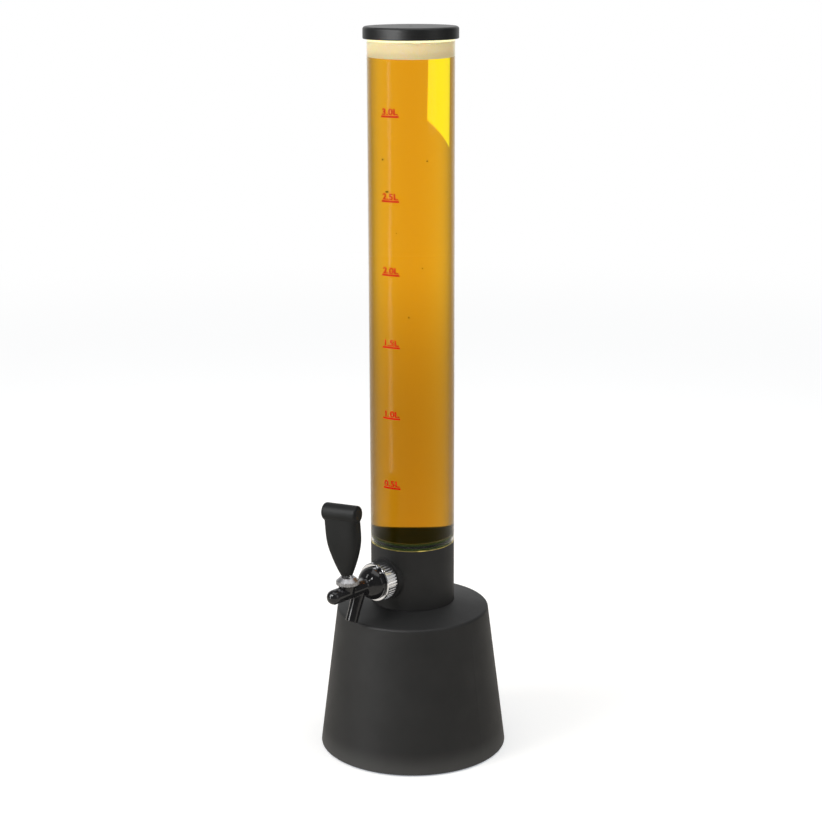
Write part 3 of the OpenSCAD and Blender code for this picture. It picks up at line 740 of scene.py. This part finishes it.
# %% Beer in the joint
SEAM_IN, SEAM_EDGE, SEAM_OUT = TUBE_R - 0.8 * MM, TUBE_R - 0.02 * MM, TUBE_R + 0.12 * MM
SEAM_LOW, SEAM_MIDDLE, SEAM_HIGH = (NECK_TOP + height * MM for height in (0.05, 0.5, 0.95))
seam = turned("beer_seam", [
    (SEAM_IN, SEAM_LOW), (SEAM_EDGE, SEAM_LOW), (SEAM_OUT, SEAM_MIDDLE),
    (SEAM_EDGE, SEAM_HIGH), (SEAM_IN, SEAM_HIGH),
], COLUMN_STEPS, closed=True)
THIN, THICK = 0.42, 0.56
# The film's emission is a painted glow: golden glints in patches, standing in for light that leaves the tube's lower
# end.
amber = finish("amber beer film with painted glints", Roughness=0.25, Emission_Color=(0.5, 0.38, 0.06, 1))
patches = grain(amber, 15, 2)
feed(amber, ramp(amber, patches, (THIN, (0.2, 0.17, 0.05)), (THICK, (0.62, 0.5, 0.14))), "Base Color")
painted_glints = ramp(amber, patches, (THIN, (0, 0, 0)), (THICK, (1, 1, 1)))
feed(amber, spread(amber, painted_glints, 0.09, 0.42), "Emission Strength")
seam.data.materials.append(amber)
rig.ride(seam, "tower")
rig.slot(seam, "clear_tube")

# %% [markdown]
# A few flakes of sediment stick to the wall inside, as in the photograph. They are small flattened
# spheres, each set at an azimuth in degrees and a height in millimetres, with its radius in millimetres.

# %% Sediment
FLAKES = (
    (-90, 682, 1.2), (-26, 681, 0.9), (-69, 604, 0.7), (-52, 512, 0.9),
    (-33, 566, 0.7), (150, 640, 1.0), (70, 455, 0.8),
)
FLAKE_AT = BORE_R - 0.3 * MM
flakes = []
for azimuth, height_mm, size_mm in FLAKES:
    angle = math.radians(azimuth)
    bpy.ops.object.select_all(action="DESELECT")
    bpy.ops.mesh.primitive_uv_sphere_add(
        segments=12, ring_count=8, radius=size_mm * MM, rotation=(0, 0, angle),
        location=(FLAKE_AT * math.cos(angle), FLAKE_AT * math.sin(angle), height_mm * MM))
    flake = bpy.context.object
    flake.scale = (0.35, 1, 0.8)
    bpy.ops.object.transform_apply(location=True, rotation=True, scale=True)
    flakes.append(flake)
bpy.ops.object.select_all(action="DESELECT")
for flake in flakes:
    flake.select_set(True)
bpy.context.view_layer.objects.active = flakes[0]
bpy.ops.object.join()
sediment = bpy.context.object
sediment.name = sediment.data.name = "sediment"
bpy.ops.object.shade_smooth()
yeast = finish("brown yeast", Roughness=0.8)
brown = ramp(yeast, grain(yeast, 0.6), (0.3, (0.03, 0.015, 0.004)), (0.7, (0.07, 0.035, 0.01)))
feed(yeast, brown, "Base Color")
sediment.data.materials.append(yeast)
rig.ride(sediment, "tower")
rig.slot(sediment, "seal_grey")
print("sediment", len(sediment.data.polygons), "faces")

# %% [markdown]
# ## Foam
# A thin head lies on the beer, right under the lid. Foam is white because of its many bubble walls. It
# is a turned disc that sticks to the wall over its full width and hangs a little deeper on one side.
# Its material is a cream that lets light in below its surface, with a painted glow: an emission,
# strongest in a thin line at the wall right under the lid, that stands in for light reaching foam from all sides.

# %% Lay the foam
FOAM_TOP, FOAM_FOOT = TUBE_TOP - 7.2 * MM, BEER_TOP - 7 * MM
FOAM_R, FOAM_ROUND = IN_WALL + 0.05 * MM, 1 * MM
HANG, HANG_AT = 0.031, BEER_TOP - 2.9 * MM
GLOW_LINE_LOW, GLOW_LINE_HIGH = FOAM_TOP - 3.8 * MM, FOAM_TOP - 2.6 * MM
foam = turned("foam_head", [
    (0, FOAM_FOOT), (FOAM_R, FOAM_FOOT),
    (FOAM_R, FOAM_TOP - FOAM_ROUND), (FOAM_R - FOAM_ROUND, FOAM_TOP),
    (FOAM_R * 0.75, FOAM_TOP), (FOAM_R * 0.5, FOAM_TOP), (FOAM_R * 0.25, FOAM_TOP), (0, FOAM_TOP),
], 160)
side_angle = math.radians(CAMERA_AZIMUTH)
bpy.ops.object.mode_set(mode="EDIT")
bpy.ops.mesh.select_all(action="SELECT")
bpy.ops.mesh.bisect(plane_co=(0, 0, HANG_AT), clear_inner=True, use_fill=True,
                    plane_no=(HANG * math.cos(side_angle), HANG * math.sin(side_angle), 1))
bpy.ops.object.mode_set(mode="OBJECT")
print("foam hangs to", round(min(vertex.co.z for vertex in foam.data.vertices) / MM, 1), "mm")

# %% Foam finish
cream = finish("cream foam", Roughness=0.7, Subsurface_Weight=0.6, Subsurface_Scale=0.004)
foam_tree = cream.node_tree
# Painted glow: the emission is strongest in a thin line at the wall under the lid, standing in for light that reaches
# the foam from all sides.
upper = soft_step(foam_tree, z_of(foam_tree, object_place(cream)), GLOW_LINE_LOW, GLOW_LINE_HIGH)
facing = z_of(foam_tree, add_node(cream, "ShaderNodeNewGeometry").outputs["Normal"])
line = calculate(foam_tree, "MULTIPLY", upper, calculate(foam_tree, "SUBTRACT", 1, facing))
feed(cream, ramp(cream, line, (0, (1, 0.8, 0.42)), (1, (1, 0.97, 0.55))), "Emission Color")
feed(cream, spread(cream, line, 0.3, 1.0), "Emission Strength")
bubbles = grain(cream, 1.6, 2)
feed(cream, ramp(cream, bubbles, (0.3, (0.88, 0.72, 0.42)), (0.7, (0.97, 0.86, 0.6))), "Base Color")
feed(cream, bump(cream, bubbles, 0.6, 0.4), "Normal")
foam.data.materials.append(cream)
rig.ride(foam, "tower")
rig.slot(foam, "seal_grey")

# %% [markdown]
# ## Placing, joining and cutting
# The tap's pieces are modelled upright at the origin, where they are easy to draw, and then put in
# their place: the object is moved and turned, and the transform is applied, so the place ends up in the
# mesh. Solids are joined and cut with Boolean modifiers, which are applied at once. A voxel remesh
# followed by smoothing turns the hard seams of a union into the small fillets of a casting.

# %% Helpers for placing
def only(piece):
    bpy.ops.object.select_all(action="DESELECT")
    piece.select_set(True)
    bpy.context.view_layer.objects.active = piece


def place_at(piece, location, tilt=0.0, turn=0.0):
    """Turns a piece about its own axis, tilts it about X, moves it, and keeps all in its mesh."""
    only(piece)
    turned_round = Matrix.Rotation(math.radians(turn), 3, "Z")
    piece.rotation_euler = (Matrix.Rotation(math.radians(tilt), 3, "X") @ turned_round).to_euler()
    piece.location = location
    bpy.ops.object.transform_apply(location=True, rotation=True, scale=True)
    return piece


print("placing ready")


# %% Helpers for joining and cutting
def apply_modifier(piece, kind, **settings):
    only(piece)
    modifier = piece.modifiers.new(kind.lower(), kind)
    for key, value in settings.items():
        setattr(modifier, key, value)
    bpy.ops.object.modifier_apply(modifier=modifier.name)


def combine(piece, operation, *others):
    for other in others:
        apply_modifier(piece, "BOOLEAN", operation=operation, solver="EXACT", object=other)
        bpy.data.objects.remove(other)


def cast_smooth(piece, voxel_mm, rounds):
    apply_modifier(piece, "REMESH", mode="VOXEL", voxel_size=voxel_mm * MM, use_smooth_shade=True)
    apply_modifier(piece, "SMOOTH", factor=0.5, iterations=rounds)
    print(piece.name, len(piece.data.polygons), "faces after the remesh")


print("joining and cutting ready")


# %% Helpers for outlines
def arc(middle, radius, start, end, steps):
    """Points of an arc in the outline's plane, angles in degrees from the radius direction."""
    angles = [math.radians(start + (end - start) * i / steps) for i in range(steps + 1)]
    return [(middle[0] + radius * math.cos(a), middle[1] + radius * math.sin(a)) for a in angles]


def millimetres(points):
    return [(x * MM, z * MM) for x, z in points]


print("outline helpers ready")

# %% [markdown]
# ## Faucet body
# The tap's body is one moulding: a threaded tail in the nut, a domed shoulder, a barrel with a round
# end, a turret under the lever and a slanted spout. The dome is a little fuller than the CAD model's,
# because in the photograph it hides the nut's left rim. Each form is turned from its outline. They are
# united, remeshed and smoothed, so that spout and turret grow out of the barrel with small fillets, and
# only then bored, so that the valve's bores keep their exact size and sharp mouths. The outlines are in
# millimetres: distance from the form's axis, and place along it.

# %% Draw the faucet's outlines
TAIL, TAIL_R, SHOULDER, SHOULDER_R = 58.5, 14.8, 62.5, 18.5
DOME_MIDDLE, DOME_R, FILLET_R = 62.5, 20.0, 6.0
BARREL_R, BARREL_END = 8.3, 129.0
LEVER_AT, SPOUT_AT, SPOUT_TILT = 107.5, 87.5, 180 - 22
fillet_z = DOME_MIDDLE + math.sqrt((DOME_R + FILLET_R) ** 2 - (BARREL_R + FILLET_R) ** 2)
meet = math.degrees(math.atan2(fillet_z - DOME_MIDDLE, BARREL_R + FILLET_R))
edge = math.degrees(math.acos(SHOULDER_R / DOME_R))
outline = [(0, TAIL), (TAIL_R, TAIL), (TAIL_R, SHOULDER), (SHOULDER_R, SHOULDER)]
outline += arc((0, DOME_MIDDLE), DOME_R, edge, meet, 12)
outline += arc((BARREL_R + FILLET_R, fillet_z), FILLET_R, meet - 180, -180, 6)[1:]
outline += arc((0, BARREL_END), BARREL_R, 0, 90, 10)
TURRET = [(0, 0), (8.2, 0), (10.9, 9.9), (10.8, 9.9), (10.8, 13), (0, 13)]
SPOUT = [(0, 0), (7.9, 0), (6.9, 25), (6.9, 39), (0, 39)]
print("the dome's fillet runs out", round(fillet_z, 1), "mm from the tower's axis")

# %% Turn the faucet's parts
FINE, COARSE = 96, 64
TAP_AXIS, LEVER_AXIS = (0, 0, TAP_Z), (0, -LEVER_AT * MM, TAP_Z)
SPOUT_AXIS = (0, -SPOUT_AT * MM, TAP_Z)
faucet = place_at(turned("faucet_cast", millimetres(outline), FINE), TAP_AXIS, 90)
turret = place_at(turned("turret", millimetres(TURRET), FINE), LEVER_AXIS)
spout = place_at(turned("spout", millimetres(SPOUT), FINE), SPOUT_AXIS, SPOUT_TILT)
combine(faucet, "UNION", turret, spout)
cast_smooth(faucet, voxel_mm=0.45, rounds=5)

# %% Bore the faucet
BALL_RISE, FINGER_AT = 11, LEVER_AT - 1.5
VALVE_BORE = [(0, 57.5), (8.2, 57.5), (8.2, 66), (5.2, 66), (5.2, 122), (0, 122)]
CUP_BORE = [(0, 5)] + arc((0, BALL_RISE), 5.85, -80, -43, 4) + [(8.4, 7), (8.4, 22), (0, 22)]
FINGER_HOLE = [(0, 0), (4.2, 0), (4.2, 12), (0, 12)]
SPOUT_BORE = [(0, 0), (4.4, 0), (4.4, 41), (0, 41)]
valve = place_at(turned("valve_bore", millimetres(VALVE_BORE), FINE), TAP_AXIS, 90)
cup = place_at(turned("cup_bore", millimetres(CUP_BORE), FINE), LEVER_AXIS)
slot = place_at(turned("finger_hole", millimetres(FINGER_HOLE), COARSE), (0, -FINGER_AT * MM, TAP_Z))
pipe = place_at(turned("spout_bore", millimetres(SPOUT_BORE), COARSE), SPOUT_AXIS, SPOUT_TILT)
combine(faucet, "DIFFERENCE", valve, cup, slot, pipe)
only(faucet)
bpy.ops.object.shade_smooth_by_angle(angle=math.radians(40))
faucet.data.materials.clear()
faucet.data.materials.append(gloss_black)
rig.ride(faucet, "tower")
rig.replaces(faucet, "faucet_body")
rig.slot(faucet, "gloss_black")
print("faucet", rounded(faucet.dimensions), "mm")

# %% [markdown]
# ## Handle
# The handle is a moulded paddle: a round foot that widens into a nearly flat blade with soft edges, and
# a roll across its top for the fingers. The paddle grows ring by ring from an eight-sided foot. Each
# new ring is extruded, widened and deepened, and its four corner points are moved out a little more
# where the section is squarer. A section gives its share of the height, of the width and of the depth,
# and how square it is. A subdivision surface rounds the paddle, the roll is added, and one light remesh
# blends the two. It is screwed on 15 degrees turned, as in the photograph.

# %% Sections of the paddle
LEAN, TURN = 5.5, 15
FOOT, PADDLE_H, WIDE, DEEP = 10.1, 73.1, 38.6, 18.5
SECTIONS = [
    (0, 0.345, 0.64, 0), (0.05, 0.425, 0.75, 0.15), (0.12, 0.52, 0.79, 0.35), (0.2, 0.635, 0.84, 0.5),
    (0.29, 0.745, 0.89, 0.65), (0.39, 0.85, 0.945, 0.8), (0.49, 0.935, 0.985, 0.9), (0.59, 0.975, 1, 1),
    (0.69, 0.99, 0.98, 1), (0.79, 1, 0.95, 1), (0.9, 1, 0.92, 1), (1, 1, 0.9, 1),
]


def ring_shape(square):
    """How far a ring's side points and corner points stand out, so that the smoothed ring fits.

    A subdivision surface runs through (before + 4 * point + after) / 6 at each point of a ring. The
    section is a circle, exponent 2, where square is 0, and nearly a rectangle, exponent 6, where it is 1.
    """
    corner = 0.5 ** (1 / (2 + 4 * square))
    out = (6 * corner - 1.5) / 2.475
    return (6 - 1.414 * out) / 4, out


print(len(SECTIONS), "sections over", PADDLE_H, "mm")

# %% Helpers that grow a ring
FOOT_DEPTH, SAME_HEIGHT, OFF_AXIS = 2 * MM, 0.01 * MM, 0.2 * MM
bpy.ops.object.select_all(action="DESELECT")
bpy.ops.mesh.primitive_cylinder_add(vertices=8, radius=1, depth=FOOT_DEPTH,
                                    location=(0, 0, -FOOT_DEPTH / 2))
handle = bpy.context.object
handle.name = handle.data.name = "handle_grip"
bpy.ops.object.transform_apply(location=True, rotation=False, scale=False)
bpy.ops.object.mode_set(mode="EDIT")


def select_ring(height, corners_only=False):
    bpy.ops.mesh.select_all(action="DESELECT")
    bpy.ops.object.mode_set(mode="OBJECT")
    for vertex in handle.data.vertices:
        at = abs(vertex.co.z - height) < SAME_HEIGHT
        corner = min(abs(vertex.co.x), abs(vertex.co.y)) > OFF_AXIS
        vertex.select = at and (corner or not corners_only)
    bpy.ops.object.mode_set(mode="EDIT")


def widen(height, x, y, corners_only=False):
    select_ring(height, corners_only)
    bpy.ops.transform.resize(value=(x, y, 1), center_override=(0, 0, height))


print("the foot has", len(handle.data.vertices), "points")

# %% Grow the paddle from its foot
foot_side, foot_corner = ring_shape(0)
foot_x, foot_y = (foot_side * full * share / 2 * MM
                  for full, share in zip((WIDE, DEEP), SECTIONS[0][1:]))
for height in (-FOOT_DEPTH, 0):
    widen(height, foot_x, foot_y)
    widen(height, foot_corner / foot_side, foot_corner / foot_side, corners_only=True)
for below, above in zip(SECTIONS, SECTIONS[1:]):
    low, high = below[0] * PADDLE_H * MM, above[0] * PADDLE_H * MM
    select_ring(low)
    bpy.ops.mesh.extrude_region_move(TRANSFORM_OT_translate={"value": (0, 0, high - low)})
    (side_a, corner_a), (side_b, corner_b) = ring_shape(below[3]), ring_shape(above[3])
    widen(high, side_b * above[1] / (side_a * below[1]), side_b * above[2] / (side_a * below[2]))
    squarer = corner_b * side_a / (side_b * corner_a)
    widen(high, squarer, squarer, corners_only=True)
bpy.ops.object.mode_set(mode="OBJECT")
print("paddle cage", rounded(handle.dimensions), "mm")

# %% Round the paddle and add the roll
apply_modifier(handle, "SUBSURF", levels=3, render_levels=3)
ROLL_W, ROLL_D, ROLL_ROUND = 43 * MM, 19.8 * MM, 3 * MM
bpy.ops.object.select_all(action="DESELECT")
bpy.ops.mesh.primitive_cylinder_add(vertices=96, radius=ROLL_D / 2, depth=ROLL_W,
                                    rotation=(0, math.pi / 2, 0), location=(0, 0, PADDLE_H * MM))
roll = bpy.context.object
roll.name = "roll"
apply_modifier(roll, "BEVEL", width=ROLL_ROUND, segments=6, limit_method="ANGLE",
               angle_limit=math.radians(60))
combine(handle, "UNION", roll)
cast_smooth(handle, voxel_mm=0.5, rounds=8)
bpy.ops.object.mode_set(mode="EDIT")
bpy.ops.mesh.select_all(action="SELECT")
bpy.ops.mesh.bisect(plane_co=(0, 0, 0), plane_no=(0, 0, 1), clear_inner=True, use_fill=True)
bpy.ops.object.mode_set(mode="OBJECT")

# %% Bore the handle and set it on the lever
SOCKET = [(0, -3), (4.9, -3), (4.9, 16), (0, 16)]
combine(handle, "DIFFERENCE", turned("handle_socket", millimetres(SOCKET), COARSE))
ball = Vector((0, -LEVER_AT * MM, TAP_Z + BALL_RISE * MM))
lean = math.radians(LEAN)
place_at(handle, ball + Vector((0, -math.sin(lean), math.cos(lean))) * FOOT * MM, LEAN, TURN)
only(handle)
bpy.ops.object.shade_smooth_by_angle(angle=math.radians(40))
handle.data.materials.clear()
handle.data.materials.append(soft_black)
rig.ride(handle, "tap_handle")
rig.replaces(handle, "handle")
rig.slot(handle, "satin_black")
for side in (min, max):
    print("handle", rounded(side(vertex.co[i] for vertex in handle.data.vertices) for i in range(3)))
print("in CAD", *(rounded(corner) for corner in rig.box("handle")))

# %% [markdown]
# ## Printed scale
# Six red marks are screen-printed on the column, one for each half litre: a number over a short line.
# Each is a text object made into a mesh. Flat letters would cut into the round wall, so the mesh is
# first sliced into millimetre strips with bisect and then pressed onto the tube by a shrinkwrap that
# projects it straight back. The ink is a twentieth of a millimetre thick.

# %% Ink
ink = finish("red screen ink", Roughness=0.5, Specular_IOR_Level=0.08)
blotches = grain(ink, 1.2, 3)
feed(ink, ramp(ink, blotches, (0.3, (0.56, 0.004, 0.002)), (0.7, (0.72, 0.009, 0.003))), "Base Color")
feed(ink, bump(ink, blotches, 0.3, 0.02), "Normal")
print("ink mixed")

# %% Helper that draws a flat mark
LETTER_SIZE, LETTER_WIDE, LETTER_BOLD = 9 * MM, 1.25, 0.3 * MM
LINE_WIDE, LINE_TALL, LETTERS_UP = 21.5 * MM, 2 * MM, 2
FACING_FRONT = (math.pi / 2, 0, 0)


def flat_mark(litres, height_mm):
    """A number over a line, as one flat mesh that stands in front of the tube."""
    in_front = -(TUBE_R + 4 * MM)
    bpy.ops.object.select_all(action="DESELECT")
    bpy.ops.object.text_add(location=(0, in_front, (height_mm + LETTERS_UP) * MM),
                            rotation=FACING_FRONT)
    text = bpy.context.object
    text.data.body = f"{litres:.1f}L"
    text.data.size = LETTER_SIZE
    text.data.align_x = "CENTER"
    text.data.offset = LETTER_BOLD
    text.scale = (LETTER_WIDE, 1, 1)
    bpy.ops.object.convert(target="MESH")
    mark = bpy.context.object
    mark.name = mark.data.name = f"scale_mark_{int(litres * 10):02d}"
    bpy.ops.object.select_all(action="DESELECT")
    bpy.ops.mesh.primitive_plane_add(size=1, location=(0, in_front, height_mm * MM),
                                     rotation=FACING_FRONT)
    stroke = bpy.context.object
    stroke.scale = (LINE_WIDE, LINE_TALL, 1)
    mark.select_set(True)
    bpy.context.view_layer.objects.active = mark
    bpy.ops.object.join()
    only(mark)
    bpy.ops.object.transform_apply(location=True, rotation=True, scale=True)
    return mark


print("marks can be drawn")

# %% Print the marks
MARKS = (0.5, 318), (1.0, 398), (1.5, 478), (2.0, 558), (2.5, 638), (3.0, 728)
MARK_TURN, STRIPS = 13, range(-12, 13)
INK_GAP, INK = 0.04 * MM, 0.05 * MM


def print_on_tube(mark):
    bpy.ops.object.mode_set(mode="EDIT")
    bpy.ops.mesh.select_all(action="SELECT")
    bpy.ops.mesh.quads_convert_to_tris()
    for strip in STRIPS:
        bpy.ops.mesh.select_all(action="SELECT")
        bpy.ops.mesh.bisect(plane_co=(strip * MM, 0, 0), plane_no=(1, 0, 0))
    bpy.ops.object.mode_set(mode="OBJECT")
    apply_modifier(mark, "SHRINKWRAP", target=tube, wrap_method="PROJECT", use_project_y=True,
                   use_negative_direction=False, use_positive_direction=True, offset=INK_GAP)
    apply_modifier(mark, "SOLIDIFY", thickness=INK, offset=1)
    mark.rotation_euler = (0, 0, math.radians(MARK_TURN))
    bpy.ops.object.transform_apply(location=False, rotation=True, scale=False)
    mark.data.materials.clear()
    mark.data.materials.append(ink)
    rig.ride(mark, "tower")
    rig.slot(mark, "satin_black")
    print(mark.name, len(mark.data.polygons), "faces")


for litres, height_mm in MARKS:
    print_on_tube(flat_mark(litres, height_mm))

# %% [markdown]
# ## Write the size and finish
# The CAD box and the visual model's box are kept side by side, so that the two can be compared after
# each render.

# %% Sizes and end
json.dump({"cad": [list(v) for v in cad_box], "visual": [list(v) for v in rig.bounds()]}, open("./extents.json", "w"))
print(open("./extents.json").read())
